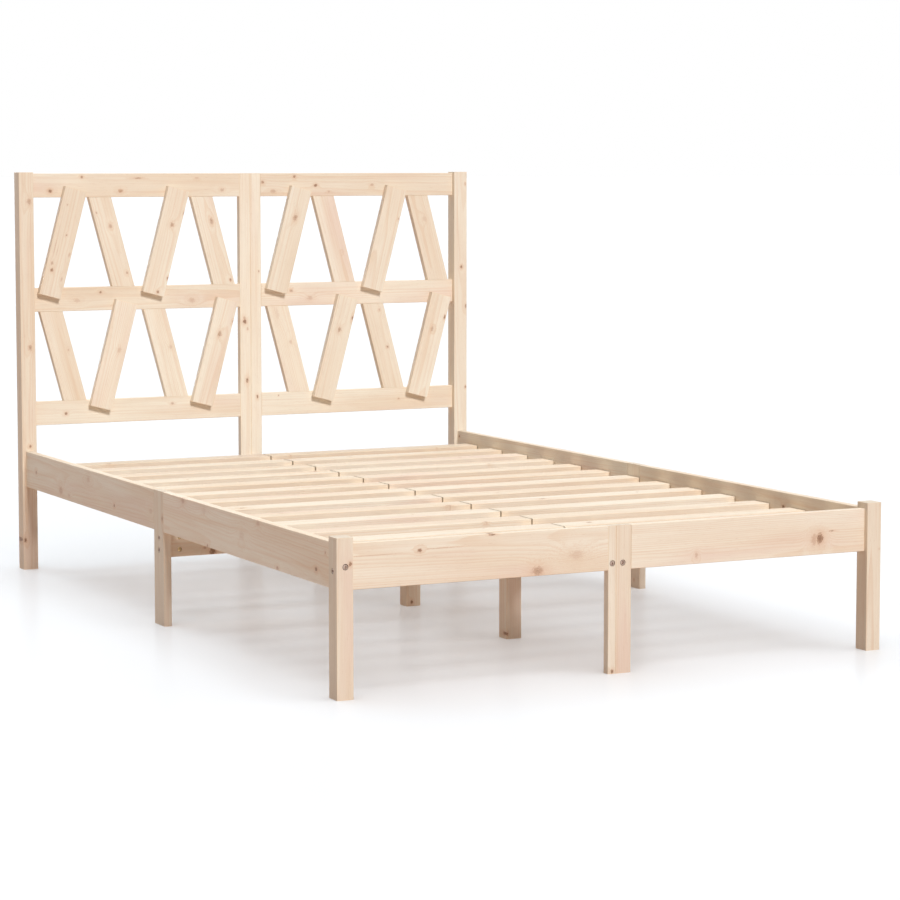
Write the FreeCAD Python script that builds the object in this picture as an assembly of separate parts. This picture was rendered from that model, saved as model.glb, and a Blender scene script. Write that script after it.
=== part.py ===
import FreeCAD, Part
import math
import os

os.makedirs("parts", exist_ok=True)

# Slatted pine bed frame with a braced headboard. Lengths are millimetres and angles are degrees.
# The origin lies on the floor under the middle of the bed. +X is to the right seen from the foot,
# +Y points from the foot to the headboard and +Z is up.

# The mattress that the bed holds, and the height of the headboard
mattress_width = 1200.0
mattress_length = 1900.0
overall_height = 1000.0

# Timber stock
board = 18.0
edge_round = 1.5
head_post_width = 38.0
head_post_depth = 38.0
foot_post_width = 35.0
foot_post_depth = 38.0
foot_post_height = 313.0

# Rails round the mattress
rail_height = 90.0
rail_underside = 210.0
side_inset = 9.5
foot_inset = 10.5
head_inset = 11.5

# Headboard
head_rail_height = 60.0
top_rail_drop = 3.0
row_opening = 227.0
head_stile_width = 30.0
brace_width = 58.0
brace_angle = 15.0
upper_brace_gap = 14.5
lower_brace_gap = 8.5
upper_brace_end_gap = 13.5
lower_brace_end_gap = 16.5
brace_lap = 21.0
pairs_per_bay = 2

# Legs and beams in the middle of the bed
side_leg_width = 60.0
foot_leg_left_width = 18.0
foot_leg_right_width = 35.0
centre_joint_x = -9.0
beam_left_width = 18.0
beam_right_width = 28.0
beam_height = 43.0
beam_bolt_rise_share = 0.3
cross_beam_height = 60.0
cross_beam_underside = 151.0
centre_leg_width = 36.0
centre_leg_depth = 36.0
quarter_leg_distance = 482.0

# Slats and what carries them
slat_seat = 254.0
slat_thickness = 16.0
slat_width = 60.0
slat_count = 13
slat_end_clearance = 1.5
slat_meeting_gap = 4.0
ledger_thickness = 18.0
ledger_height = 28.0
ledger_end_gap = 70.0
ledger_meeting_gap = 2.0
tape_width = 20.0
tape_thickness = 1.0
tape_places_share = (0.25, 0.75)

# Socket head bolts and barrel nuts
bolt_radius = 3.0
bolt_head_radius = 5.0
bolt_head_height = 6.0
socket_radius = 2.9
socket_depth = 3.0
long_bolt_length = 65.0
short_bolt_length = 45.0
nut_radius = 5.0
nut_length = 13.0
nut_setback = 28.0
nut_slot_width = 1.4
nut_slot_depth = 1.2
bolt_clearance = 0.25
head_clearance = 1.2
head_sink = 1.0
plug_thickness = 5.0
plug_clearance = 0.1
plug_chamfer = 0.6
nut_clearance = 0.15
side_rail_bolt_z = 256.5
foot_rail_bolt_z = 248.0
head_bolt_z = 255.0
beam_bolt_inset_left = 9.5
beam_bolt_inset_right = 12.5
side_leg_bolt_spacing = 27.0

# Dowels and wood screws
dowel_radius = 4.0
dowel_length = 30.0
dowel_chamfer = 0.8
dowel_clearance = 0.1
dowel_end_space = 1.0
side_dowel_inset = 15.0
foot_dowel_inset = 27.0
head_dowel_inset = 14.0
stile_dowel_places_share = (0.12, 0.26)
foot_leg_dowel_places_share = (0.25, 0.7)
screw_radius = 1.9
screw_head_radius = 3.8
screw_head_height = 2.4
screw_length = 30.0
screw_clearance = 0.1
screw_sink = 0.3
screw_cross_span = 3.8
screw_cross_width = 0.9
screw_cross_depth = 1.5
brace_screw_spread_share = 0.5
ledger_screws_per_side = 5

# One overrun serves every cut that must leave the wood
overrun = 5.0

# Places that follow from the sizes above
half_width = mattress_width / 2 + board + side_inset
foot_length = foot_inset + board
head_length = head_post_depth - head_inset
half_length = (foot_length + mattress_length + head_length) / 2
rail_top = rail_underside + rail_height
foot_rail_front = -half_length + foot_inset
foot_rail_back = foot_rail_front + board
head_rail_front = half_length - head_length
head_rail_back = head_rail_front + board
side_rail_front = -half_length + foot_post_depth
side_rail_back = half_length - head_post_depth
side_rail_outer = half_width - side_inset
side_rail_inner = side_rail_outer - board
side_rail_middle = (side_rail_outer + side_rail_inner) / 2
foot_rail_middle = (foot_rail_front + foot_rail_back) / 2
head_rail_middle = (head_rail_front + head_rail_back) / 2
top_rail_top = overall_height - top_rail_drop
top_rail_low = top_rail_top - head_rail_height
mid_rail_top = top_rail_low - row_opening
mid_rail_low = mid_rail_top - head_rail_height
low_rail_top = mid_rail_low - row_opening
low_rail_low = low_rail_top - head_rail_height
foot_legs_left = centre_joint_x - foot_leg_left_width
foot_legs_right = centre_joint_x + foot_leg_right_width
beam_left = centre_joint_x - beam_left_width
beam_right = centre_joint_x + beam_right_width
centre_leg_x = beam_right - centre_leg_width / 2
beam_underside = slat_seat - beam_height
beam_bolt_z = beam_underside + beam_height * beam_bolt_rise_share
cross_beam_top = cross_beam_underside + cross_beam_height
slat_top = slat_seat + slat_thickness

X = FreeCAD.Vector(1, 0, 0)
Y = FreeCAD.Vector(0, 1, 0)
Z = FreeCAD.Vector(0, 0, 1)

# Every wooden piece by name, the bores that each one gets, and the hardware in groups
pieces = {}
bores = {}
hardware = {}


def at(x, y, z):
    return FreeCAD.Vector(x, y, z)


def block(xs, ys, zs):
    return Part.makeBox(xs[1] - xs[0], ys[1] - ys[0], zs[1] - zs[0], at(xs[0], ys[0], zs[0]))


# A timber has its long edges eased by a small round, as planed stock has
def timber(xs, ys, zs, grain):
    solid = block(xs, ys, zs)
    spans = (xs[1] - xs[0], ys[1] - ys[0], zs[1] - zs[0])
    across = [span for span, along in zip(spans, (X, Y, Z)) if along != grain]
    radius = min(edge_round, min(across) / 4)
    long_edges = [edge for edge in solid.Edges if edge.tangentAt(edge.FirstParameter).cross(grain).Length < 0.5]
    return solid.makeFillet(radius, long_edges)


# A post also has the edges of its top end eased
def post(xs, ys, top):
    solid = timber(xs, ys, (0, top), Z)
    rim = [edge for edge in solid.Edges if edge.BoundBox.ZMin > top - edge_round]
    return solid.makeFillet(edge_round / 2, rim)


def turned(solid, place, direction):
    solid.Placement = FreeCAD.Placement(place, FreeCAD.Rotation(Z, direction))
    return solid


def rod(place, direction, radius, length):
    return turned(Part.makeCylinder(radius, length), place, direction)


def bore(names, tool):
    for name in names:
        bores.setdefault(name, []).append(tool)


def fasten(group, solid):
    hardware.setdefault(group, []).append(solid)


# Bolts

# The outer end of the bolt's head lies at the given place, and its shank runs along direction
def bolt(place, direction, length):
    head = rod(place, direction, bolt_head_radius, bolt_head_height)
    shank = rod(place + direction * bolt_head_height, direction, bolt_radius, length)
    corners = []
    for corner in range(7):
        turn = math.radians(60 * corner)
        corners.append(at(socket_radius * math.cos(turn), socket_radius * math.sin(turn), 0))
    hexagon = Part.Face(Part.makePolygon(corners))
    socket = turned(hexagon.extrude(Z * socket_depth), place, direction)
    return head.fuse(shank).removeSplitter().cut(socket)


# A nut is a short cross bar with a hole for the bolt, turned across the bolt, and a slot in its outer end
def barrel_nut(middle, across, bolt_direction):
    start = middle - across * (nut_length / 2)
    body = rod(start, across, nut_radius, nut_length)
    passage = rod(middle - bolt_direction * nut_length, bolt_direction, bolt_radius + bolt_clearance,
                  2 * nut_length)
    slot = block((-2 * nut_radius, 2 * nut_radius), (-nut_slot_width / 2, nut_slot_width / 2),
                 (nut_length - nut_slot_depth, nut_length + overrun))
    return body.cut(passage).cut(turned(slot, start, across))


# A plug closes a bolt's mouth flush with the face, with its inner rim eased
def cover_plug(place, direction):
    body = Part.makeCylinder(bolt_head_radius + head_clearance - plug_clearance, plug_thickness)
    rims = [edge for edge in body.Edges if edge.Closed and edge.BoundBox.ZMin > plug_thickness / 2]
    return turned(body.makeChamfer(plug_chamfer, rims), place, direction)


# A bolted joint: through the outer piece, into the end of the inner piece, with a nut across it.
# Its head sits a little below the face, or under a plug.
def bolted_joint(group, outer, inner, place, direction, length, thickness, nut_side, plugged=False):
    sink = plug_thickness if plugged else head_sink
    fasten(group, bolt(place + direction * sink, direction, length))
    if plugged:
        fasten("bolt_plug", cover_plug(place, direction))
    passage = rod(place - direction * overrun, direction, bolt_radius + bolt_clearance,
                  overrun + sink + bolt_head_height + length + dowel_end_space)
    mouth = rod(place - direction * overrun, direction, bolt_head_radius + head_clearance,
                overrun + sink + bolt_head_height)
    bore([outer, inner], passage)
    bore([outer], mouth)
    middle = place + direction * (thickness + nut_setback)
    fasten("barrel_nuts", barrel_nut(middle, nut_side, direction))
    floor_of_bore = middle - nut_side * (nut_length / 2 + nut_clearance)
    bore([inner], rod(floor_of_bore, nut_side, nut_radius + nut_clearance, nut_length + board))


# Dowels and screws

def dowel(middle, direction):
    start = middle - direction * (dowel_length / 2)
    body = Part.makeCylinder(dowel_radius, dowel_length)
    rims = [edge for edge in body.Edges if edge.Closed]
    return turned(body.makeChamfer(dowel_chamfer, rims), start, direction)


def dowelled_joint(names, middle, direction):
    fasten("dowels", dowel(middle, direction))
    half = dowel_length / 2 + dowel_end_space
    bore(names, rod(middle - direction * half, direction, dowel_radius + dowel_clearance, 2 * half))


# A countersunk screw as an outline turned round its axis, grown for the hole that it sits in
def screw_shape(place, direction, grow):
    head = Part.makeCone(screw_head_radius + grow, screw_radius + grow, screw_head_height)
    shank = Part.makeCylinder(screw_radius + grow, screw_length + grow)
    return turned(head.fuse(shank).removeSplitter(), place, direction)


# The cross that a screwdriver turns, cut into the head
def screw_cross(place, direction):
    reach = (-screw_cross_span / 2, screw_cross_span / 2)
    narrow = (-screw_cross_width / 2, screw_cross_width / 2)
    deep = (-overrun, screw_cross_depth)
    return turned(block(reach, narrow, deep).fuse(block(narrow, reach, deep)), place, direction)


def screwed_joint(names, place, direction):
    sunk = place + direction * screw_sink
    fasten("wood_screws", screw_shape(sunk, direction, 0).cut(screw_cross(sunk, direction)))
    bore(names, screw_shape(sunk, direction, screw_clearance))
    bore(names, rod(place - direction * overrun, direction, screw_head_radius + screw_clearance,
                    overrun + screw_sink))


# Posts and legs

def make_posts():
    for side, name in ((-1, "left"), (1, "right")):
        head_xs = sorted((side * half_width, side * (half_width - head_post_width)))
        foot_xs = sorted((side * half_width, side * (half_width - foot_post_width)))
        pieces["head_post_" + name] = post(head_xs, (side_rail_back, half_length), overall_height)
        pieces["foot_post_" + name] = post(foot_xs, (-half_length, side_rail_front), foot_post_height)
        stile_xs = sorted((0, side * head_stile_width))
        stile_ys = (head_rail_front, head_rail_back)
        pieces["head_stile_" + name] = timber(stile_xs, stile_ys, (0, top_rail_top), Z)
        leg_xs = sorted((side * side_rail_outer, side * side_rail_inner))
        leg_ys = (-side_leg_width / 2, side_leg_width / 2)
        pieces["side_leg_" + name] = timber(leg_xs, leg_ys, (0, rail_top), Z)
    foot_ys = (foot_rail_front, foot_rail_back)
    pieces["foot_leg_left"] = timber((foot_legs_left, centre_joint_x), foot_ys, (0, rail_top), Z)
    pieces["foot_leg_right"] = timber((centre_joint_x, foot_legs_right), foot_ys, (0, rail_top), Z)


def make_centre_legs():
    quarter = half_length - quarter_leg_distance
    xs = (centre_leg_x - centre_leg_width / 2, centre_leg_x + centre_leg_width / 2)
    carried = {
        "front": (-quarter, beam_underside, "centre_beam_right"),
        "middle": (0, cross_beam_underside, "cross_beam"),
        "back": (quarter, beam_underside, "centre_beam_right"),
    }
    for name, (y, top, above) in carried.items():
        leg = "centre_leg_" + name
        pieces[leg] = timber(xs, (y - centre_leg_depth / 2, y + centre_leg_depth / 2), (0, top), Z)
        dowelled_joint([leg, above], at(centre_leg_x, y, top), Z)


# Rails

def make_foot_rails():
    ys = (foot_rail_front, foot_rail_back)
    zs = (rail_underside, rail_top)
    post_face = half_width - foot_post_width
    spans = {"left": (-post_face, foot_legs_left), "right": (foot_legs_right, post_face)}
    for name, xs in spans.items():
        rail = "foot_rail_" + name
        pieces[rail] = timber(xs, ys, zs, X)
        outer_x, inner_x = xs if name == "left" else (xs[1], xs[0])
        for z in (rail_underside + foot_dowel_inset, rail_top - foot_dowel_inset):
            dowelled_joint([rail, "foot_post_" + name], at(outer_x, foot_rail_middle, z), X)
            dowelled_joint([rail, "foot_leg_" + name], at(inner_x, foot_rail_middle, z), X)
        inward = X if name == "left" else -X
        place = at(-half_width * inward.x, foot_rail_middle, foot_rail_bolt_z)
        bolted_joint("corner_bolts", "foot_post_" + name, rail, place, inward, long_bolt_length,
                     foot_post_width, Y)
    for share in foot_leg_dowel_places_share:
        place = at(centre_joint_x, foot_rail_middle, share * rail_underside)
        dowelled_joint(["foot_leg_left", "foot_leg_right"], place, X)


def make_side_rails():
    leg_face = side_leg_width / 2
    zs = (rail_underside, rail_top)
    for side, name in ((-1, "left"), (1, "right")):
        xs = sorted((side * side_rail_outer, side * side_rail_inner))
        x = side * side_rail_middle
        ends = {
            "front": (side_rail_front, -leg_face, "foot_post_" + name),
            "back": (leg_face, side_rail_back, "head_post_" + name),
        }
        for end, (near, far, corner) in ends.items():
            rail = "side_rail_" + name + "_" + end
            pieces[rail] = timber(xs, (near, far), zs, Y)
            post_y, leg_y = (near, far) if end == "front" else (far, near)
            for z in (rail_underside + side_dowel_inset, rail_top - side_dowel_inset):
                dowelled_joint([rail, corner], at(x, post_y, z), Y)
                dowelled_joint([rail, "side_leg_" + name], at(x, leg_y, z), Y)
        # At the right foot post the front face is plain, with a plug over the bolt
        bolted_joint("corner_bolts", "foot_post_" + name, "side_rail_" + name + "_front",
                     at(x, -half_length, side_rail_bolt_z), Y, long_bolt_length, foot_post_depth, X * -side,
                     plugged=name == "right")
        bolted_joint("corner_bolts", "head_post_" + name, "side_rail_" + name + "_back",
                     at(x, half_length, head_bolt_z), -Y, long_bolt_length, head_post_depth, X * -side)


def make_head_rails():
    ys = (head_rail_front, head_rail_back)
    post_face = half_width - head_post_width
    levels = {"top": top_rail_low, "mid": mid_rail_low, "low": low_rail_low}
    for level, low in levels.items():
        for side, name in ((-1, "left"), (1, "right")):
            rail = "head_rail_" + level + "_" + name
            xs = sorted((side * post_face, side * head_stile_width))
            pieces[rail] = timber(xs, ys, (low, low + head_rail_height), X)
            for z in (low + head_dowel_inset, low + head_rail_height - head_dowel_inset):
                post_end = at(side * post_face, head_rail_middle, z)
                stile_end = at(side * head_stile_width, head_rail_middle, z)
                dowelled_joint([rail, "head_post_" + name], post_end, X)
                dowelled_joint([rail, "head_stile_" + name], stile_end, X)
    for low in (0, low_rail_top, mid_rail_top):
        for share in stile_dowel_places_share:
            place = at(0, head_rail_middle, low + share * low_rail_low)
            dowelled_joint(["head_stile_left", "head_stile_right"], place, X)


# Headboard braces

# Each brace leans one way or the other. The ones that lean right lie on the front of the rails with
# square ends, and the ones that lean left fit between the rails with their ends cut to them.
slope = math.tan(math.radians(brace_angle))
level_width = brace_width / math.cos(math.radians(brace_angle))


def leaning_board(x, z, lean, length, ys):
    half = brace_width / 2
    shape = timber((-half, half), ys, (-length / 2, length / 2), Z)
    shape.Placement = FreeCAD.Placement(at(x, 0, z), FreeCAD.Rotation(Y, lean * brace_angle))
    return shape


def lapped_brace(name, x, low, rail_below, rail_above):
    length = (row_opening + 2 * brace_lap) / math.cos(math.radians(brace_angle))
    ys = (head_rail_front - board, head_rail_front)
    middle_z = low + row_opening / 2
    pieces[name] = leaning_board(x, middle_z, 1, length, ys)
    for end, rail in ((-1, rail_below), (1, rail_above)):
        z = middle_z + end * (row_opening + brace_lap) / 2
        along = x + (z - middle_z) * slope
        for side in (-1, 1):
            place = at(along + side * brace_width * brace_screw_spread_share / 2, head_rail_back, z)
            screwed_joint([rail, name], place, -Y)


def fitted_brace(name, x, low, rail_below, rail_above):
    ys = (head_rail_front, head_rail_back)
    middle_z = low + row_opening / 2
    long_board = leaning_board(x, middle_z, -1, row_opening + 2 * brace_width, ys)
    reach = brace_width + row_opening
    room = block((x - reach, x + reach), ys, (low, low + row_opening))
    pieces[name] = long_board.common(room)
    for z, rail in ((low, rail_below), (low + row_opening, rail_above)):
        dowelled_joint([rail, name], at(x - (z - middle_z) * slope, head_rail_middle, z), Z)


# The outermost braces stand a named gap clear of the post and the stile, at their wide end
def make_braces():
    bay_start = head_stile_width
    bay_end = half_width - head_post_width
    bay_middle = (bay_start + bay_end) / 2
    run = row_opening * slope
    rows = {
        "upper": (mid_rail_top, "mid", "top", upper_brace_gap, upper_brace_end_gap),
        "lower": (low_rail_top, "low", "mid", lower_brace_gap, lower_brace_end_gap),
    }
    for row, (low, below, above, gap, end_gap) in rows.items():
        spread = (gap + level_width + run) / 2
        first_centre = bay_start + end_gap + gap / 2 + level_width + run - bay_middle
        step = -2 * first_centre / (pairs_per_bay - 1)
        kinds = (lapped_brace, fitted_brace) if row == "upper" else (fitted_brace, lapped_brace)
        number = 0
        for side, name in ((-1, "left"), (1, "right")):
            rails = ("head_rail_" + below + "_" + name, "head_rail_" + above + "_" + name)
            for pair in range(pairs_per_bay):
                centre = side * bay_middle + first_centre + pair * step
                for place, kind in zip((-1, 1), kinds):
                    number += 1
                    kind(row + "_brace_" + str(number), centre + place * spread, low, *rails)


# Beams

def make_beams():
    ys = (foot_rail_back, head_rail_front)
    zs = (beam_underside, slat_seat)
    notch = block((beam_left - overrun, beam_right + overrun), (-board / 2, board / 2),
                  (beam_underside - overrun, cross_beam_top))
    spans = {"left": (beam_left, centre_joint_x), "right": (centre_joint_x, beam_right)}
    for name, xs in spans.items():
        beam = timber(xs, ys, zs, Y)
        pieces["centre_beam_" + name] = beam.cut(notch) if cross_beam_top > beam_underside else beam
    ends = {"left": (beam_left + beam_bolt_inset_left, -X), "right": (beam_right - beam_bolt_inset_right, X)}
    for name, (x, outward) in ends.items():
        beam = "centre_beam_" + name
        bolted_joint("centre_bolts", "foot_leg_" + name, beam, at(x, foot_rail_front, beam_bolt_z), Y,
                     short_bolt_length, board, outward)
        bolted_joint("centre_bolts", "head_stile_" + name, beam, at(x, head_rail_back, beam_bolt_z), -Y,
                     short_bolt_length, board, outward)


def make_cross_beam():
    xs = (-side_rail_inner, side_rail_inner)
    pieces["cross_beam"] = timber(xs, (-board / 2, board / 2), (cross_beam_underside, cross_beam_top), X)
    middle_z = cross_beam_underside + cross_beam_height / 2
    for side, name in ((-1, "left"), (1, "right")):
        for step in (-1, 1):
            place = at(side * side_rail_outer, 0, middle_z + step * side_leg_bolt_spacing / 2)
            bolted_joint("side_leg_bolts", "side_leg_" + name, "cross_beam", place, X * -side,
                         short_bolt_length, board, -Y)


# Slats

def make_ledgers():
    start = foot_rail_back + ledger_end_gap
    end = head_rail_front - ledger_end_gap
    joint = ledger_meeting_gap / 2
    spans = {"front": (start, -joint), "back": (joint, end)}
    zs = (slat_seat - ledger_height, slat_seat)
    for side, name in ((-1, "left"), (1, "right")):
        xs = sorted((side * side_rail_inner, side * (side_rail_inner - ledger_thickness)))
        for half, ys in spans.items():
            ledger = "ledger_" + name + "_" + half
            pieces[ledger] = timber(xs, ys, zs, Y)
            carriers = [ledger, "side_rail_" + name + "_" + half, "side_leg_" + name]
            for number in range(ledger_screws_per_side):
                y = ys[0] + (number + 0.5) * (ys[1] - ys[0]) / ledger_screws_per_side
                place = at(side * (side_rail_inner - ledger_thickness), y, slat_seat - ledger_height / 2)
                screwed_joint(carriers, place, X * side)


def slat_places():
    start = foot_rail_back + ledger_end_gap
    end = head_rail_front - ledger_end_gap
    pitch = (end - start - slat_width) / (slat_count - 1)
    return [start + number * pitch for number in range(slat_count)]


def make_slats():
    zs = (slat_seat, slat_top)
    far = side_rail_inner - slat_end_clearance
    near = slat_meeting_gap / 2
    for side, name in ((-1, "left"), (1, "right")):
        xs = sorted((side * near, side * far))
        row = [timber(xs, (y, y + slat_width), zs, X) for y in slat_places()]
        pieces["slats_" + name] = Part.makeCompound(row)


# The tapes that keep the slats apart run along the undersides of the slats
def make_tapes():
    places = slat_places()
    ys = (places[0], places[-1] + slat_width)
    zs = (slat_seat - tape_thickness, slat_seat)
    for side in (-1, 1):
        for share in tape_places_share:
            x = side * share * side_rail_inner
            fasten("slat_tapes", block((x - tape_width / 2, x + tape_width / 2), ys, zs))


make_posts()
make_centre_legs()
make_foot_rails()
make_side_rails()
make_head_rails()
make_braces()
make_beams()
make_cross_beam()
make_ledgers()
make_slats()
make_tapes()

for name, solid in pieces.items():
    tools = [tool for tool in bores.get(name, []) if tool.BoundBox.intersect(solid.BoundBox)]
    finished = solid.cut(tools) if tools else solid
    finished.exportStep("parts/" + name + ".step")

for name, solids in hardware.items():
    Part.makeCompound(solids).exportStep("parts/" + name + ".step")

print(len(pieces) + len(hardware), "nodes written")
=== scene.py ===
import math

import bmesh
import bpy
from mathutils import Matrix, Vector


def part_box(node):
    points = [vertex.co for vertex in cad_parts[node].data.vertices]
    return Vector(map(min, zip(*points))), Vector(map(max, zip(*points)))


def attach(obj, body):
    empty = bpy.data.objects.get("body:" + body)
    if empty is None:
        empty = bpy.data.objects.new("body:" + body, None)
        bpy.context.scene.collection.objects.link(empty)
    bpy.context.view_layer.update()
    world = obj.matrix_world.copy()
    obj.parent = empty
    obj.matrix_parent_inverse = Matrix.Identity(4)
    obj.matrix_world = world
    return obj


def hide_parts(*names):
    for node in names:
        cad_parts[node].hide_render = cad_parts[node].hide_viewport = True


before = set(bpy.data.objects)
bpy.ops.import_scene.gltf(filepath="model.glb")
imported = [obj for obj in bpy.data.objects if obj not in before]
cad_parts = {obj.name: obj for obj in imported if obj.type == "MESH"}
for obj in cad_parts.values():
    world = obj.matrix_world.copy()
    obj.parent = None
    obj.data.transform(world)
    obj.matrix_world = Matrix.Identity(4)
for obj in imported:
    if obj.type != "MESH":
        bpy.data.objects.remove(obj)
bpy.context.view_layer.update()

print("scene: the packed bed frame is in, with", len(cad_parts), "nodes")


# Small helpers for shader nodes

def tone(red, green, blue):
    # a colour as a screen shows it, 0 to 255, in the linear values that Blender works in
    parts = []
    for part in (red, green, blue):
        share = part / 255
        parts.append(share / 12.92 if share <= 0.04045 else ((share + 0.055) / 1.055) ** 2.4)
    return (parts[0], parts[1], parts[2], 1.0)


def addNode(tree, kind, **settings):
    node = tree.nodes.new(kind)
    for setting, value in settings.items():
        setattr(node, setting, value)
    return node


def feed(tree, socket, value):
    # a socket is linked, a number or colour is written in
    if isinstance(value, bpy.types.NodeSocket):
        tree.links.new(value, socket)
    else:
        socket.default_value = value


def calc(tree, operation, *values, clamp=False):
    node = addNode(tree, "ShaderNodeMath", operation=operation, use_clamp=clamp)
    for socket, value in zip(node.inputs, values):
        feed(tree, socket, value)
    return node.outputs[0]


def calcVector(tree, operation, *values):
    node = addNode(tree, "ShaderNodeVectorMath", operation=operation)
    for socket, value in zip(node.inputs, values):
        feed(tree, socket, value)
    return node.outputs["Value"] if operation == "DOT_PRODUCT" else node.outputs[0]


def joinXyz(tree, x, y, z):
    node = addNode(tree, "ShaderNodeCombineXYZ")
    for socket, value in zip(node.inputs, (x, y, z)):
        feed(tree, socket, value)
    return node.outputs[0]


def splitXyz(tree, vector):
    node = addNode(tree, "ShaderNodeSeparateXYZ")
    feed(tree, node.inputs[0], vector)
    return node.outputs[0], node.outputs[1], node.outputs[2]


def noise(tree, vector, stretch, detail=2.0, roughness=0.5):
    # 3D noise on coordinates in metres, stretched differently along x, y and z
    node = addNode(tree, "ShaderNodeTexNoise")
    feed(tree, node.inputs["Vector"], calcVector(tree, "MULTIPLY", vector, stretch))
    node.inputs["Scale"].default_value = 1.0
    node.inputs["Detail"].default_value = detail
    node.inputs["Roughness"].default_value = roughness
    return node.outputs[0]


def drawThree(tree, label, value):
    # three random numbers from 0 to 1, drawn for a number (W) or for a place (Vector)
    pick = addNode(tree, "ShaderNodeTexWhiteNoise", noise_dimensions="1D" if label == "W" else "2D")
    feed(tree, pick.inputs[label], value)
    split = addNode(tree, "ShaderNodeSeparateColor")
    feed(tree, split.inputs[0], pick.outputs["Color"])
    return [split.outputs[0], split.outputs[1], split.outputs[2]]


def rise(tree, value, low, high, bottom=0.0, top=1.0):
    # a smooth step from bottom to top while the value goes from low to high
    node = addNode(tree, "ShaderNodeMapRange", interpolation_type="SMOOTHSTEP")
    for label, setting in (("Value", value), ("From Min", low), ("From Max", high),
                           ("To Min", bottom), ("To Max", top)):
        feed(tree, node.inputs[label], setting)
    return node.outputs[0]


def mixColour(tree, share, first, second, way="MIX"):
    node = addNode(tree, "ShaderNodeMix", data_type="RGBA", blend_type=way)
    feed(tree, node.inputs[0], share)
    feed(tree, node.inputs[6], first)
    feed(tree, node.inputs[7], second)
    return node.outputs[2]


def newGroup(name, takes, gives):
    group = bpy.data.node_groups.new(name, "ShaderNodeTree")
    for label, kind, start in takes:
        socket = group.interface.new_socket(label, in_out="INPUT", socket_type="NodeSocket" + kind)
        socket.default_value = start
    for label, kind in gives:
        group.interface.new_socket(label, in_out="OUTPUT", socket_type="NodeSocket" + kind)
    given = group.nodes.new("NodeGroupInput").outputs
    result = group.nodes.new("NodeGroupOutput").inputs
    return group, given, result


def placeGroup(tree, group, values):
    node = addNode(tree, "ShaderNodeGroup", node_tree=group)
    for label, value in values.items():
        feed(tree, node.inputs[label], value)
    return node.outputs


def startMaterial(name):
    material = bpy.data.materials.new(name)
    material.use_nodes = True
    tree = material.node_tree
    return material, tree, tree.nodes["Principled BSDF"]


def addBump(tree, shader, height, strength, distance):
    bump = addNode(tree, "ShaderNodeBump")
    bump.inputs["Strength"].default_value = strength
    bump.inputs["Distance"].default_value = distance
    feed(tree, bump.inputs["Height"], height)
    feed(tree, shader.inputs["Normal"], bump.outputs[0])


# Pine. Board coordinates run along the grain in x, across the width in y and through the board in z

pineTones = {
    "cream": tone(249, 240, 223),
    "peach": tone(240, 222, 199),
    "pink": tone(239, 216, 200),
    "lateWood": tone(222, 178, 134),
    "fleck": tone(198, 152, 112),
    "halo": tone(222, 179, 143),
    "knot": tone(120, 82, 58),
    "paleKnot": tone(194, 147, 116),
    # the rubbed edge tone is a painted highlight of the eased edges, with some rubbed wear
    "rubbedHighlight": tone(250, 226, 194),
    "endGrain": tone(237, 229, 214),
}

# How strongly each of the patterns tints the wood
pineShares = {
    "blush": 0.75,
    "lateWood": 0.24,
    "streak": 0.26,
    "fibre": 0.16,
    "fleck": 0.35,
    "rubbedHighlight": 0.35,
    "endGrain": 0.78,
    "endRings": 0.42,
    "endPores": 0.2,
    "halo": 0.34,
    "knot": 0.88,
}

# How fine each pattern is along, across and through the board, in waves to the metre
pineNoise = {
    "slow": (1.7, 13, 13),
    "wave": (7, 45, 45),
    "fibre": (11, 620, 620),
    "streak": (1.6, 95, 95),
    "patch": (1.3, 9, 9),
    "blush": (2.3, 12, 12),
    "fleck": (55, 1500, 1500),
    "pore": (30, 1500, 1500),
    "knot": (240, 330, 60),
    "edge": (40, 160, 160),
}

# Growth rings round a pith outside the board. Its two distances and its tilt are drawn for each board,
# each from a spread and a least value
pineRings = {
    "pithAcross": (0.09, -0.045),
    "pithBehind": (0.07, 0.022),
    "tilt": (0.03, -0.015),
    "wander": 0.012,
    "waviness": 0.0022,
    "drift": 0.005,
}

# core and halo are in radii of the knot, from where each starts to where it is full
knotLook = {
    "lean": 0.22,
    "raggedness": 2.1,
    "rings": 13.0,
    "core": (1.2, 0.4),
    "halo": (3.0, 0.5),
    "push": -1.1,
    "pushFade": -0.2,
}

pineLook = {
    "ringWidth": 0.0034,
    "edgeWidth": 0.0022,
    "bump": 0.3,
    "bumpDepth": 0.0005,
    "gloss": 0.15,
    "knotEvery": 0.34,
    "largestKnot": 0.006,
    "leastWarmth": 0.15,
    "warmthSpread": 0.4,
    "warmthStep": 0.618,
    "depthSpread": 0.08,
    "depthStep": 0.377,
    "firstSeed": 3,
    "seedStep": 5,
    "slatSeedStep": 3.7,
}


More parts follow.
